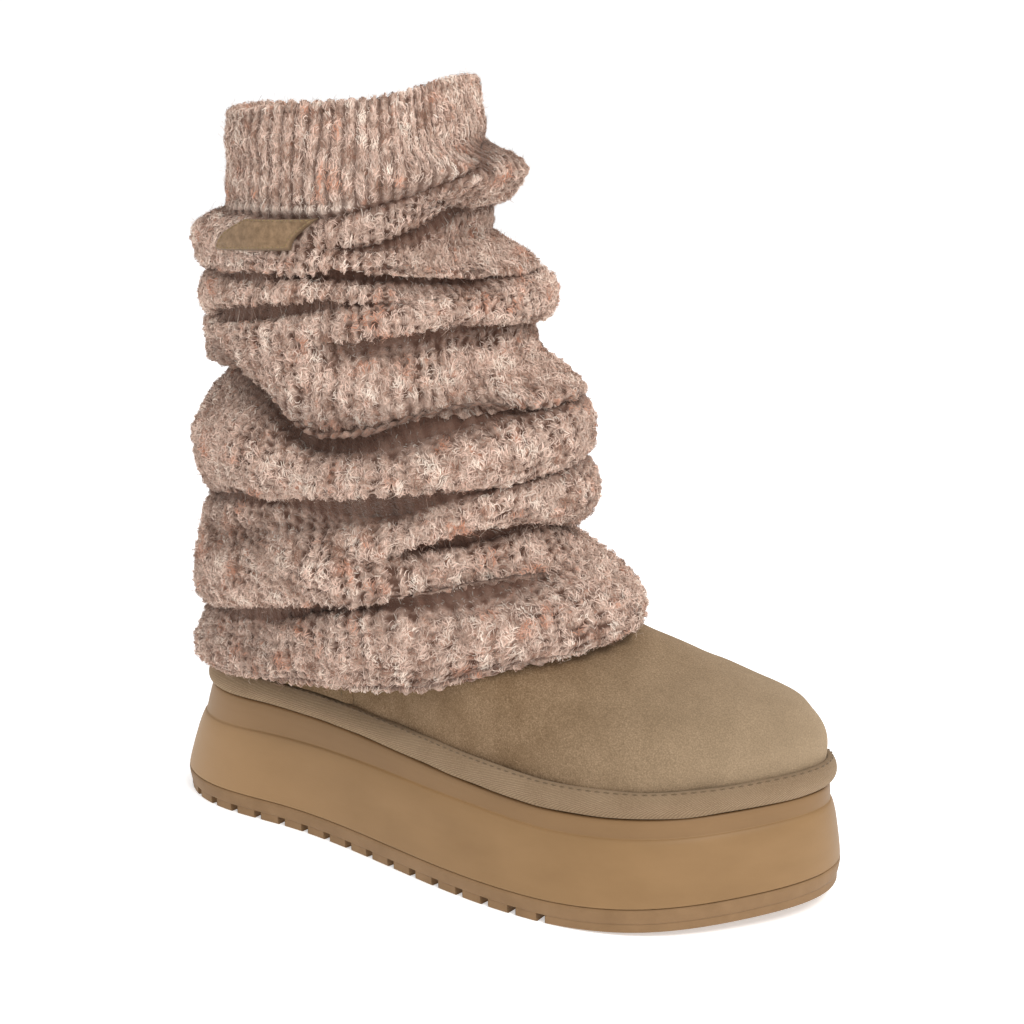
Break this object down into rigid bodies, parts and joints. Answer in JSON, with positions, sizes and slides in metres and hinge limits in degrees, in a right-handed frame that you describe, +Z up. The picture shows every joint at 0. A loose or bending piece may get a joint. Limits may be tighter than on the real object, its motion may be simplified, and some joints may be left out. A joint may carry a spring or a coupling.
{
  "type": "mukluk boot",
  "caption": "Right mukluk boot: suede mini boot on a flared platform sole with a lugged tread, under a slouched chunky-knit shaft.",
  "frame": {"origin": "on the floor, under the middle of the boot's box", "axes": "+X towards the toe, +Y towards the wearer's inner side (the left of this right boot), +Z up"},
  "size_m": [0.282, 0.1175, 0.2893],
  "materials": {
    "outsole_rubber": "matt moulded tan rubber",
    "midsole_foam": "satin moulded tan foam, a little paler at the toe",
    "welt_tape": "twill tape with a stitched upper edge",
    "suede": "short-napped taupe suede",
    "fleece": "cream curly sheepskin",
    "knit": "chunky marled knit in greige, cream and pink, with orange flecks",
    "label_leather": "smooth brown patch, blank"
  },
  "bodies": {
    "root": {"outsole": "outsole_rubber", "midsole": "midsole_foam", "welt": "welt_tape", "upper": "suede", "heel_counter": "suede", "insole": "fleece", "knit_shaft": "knit", "label_patch": "label_leather"}
  },
  "joints": []
}
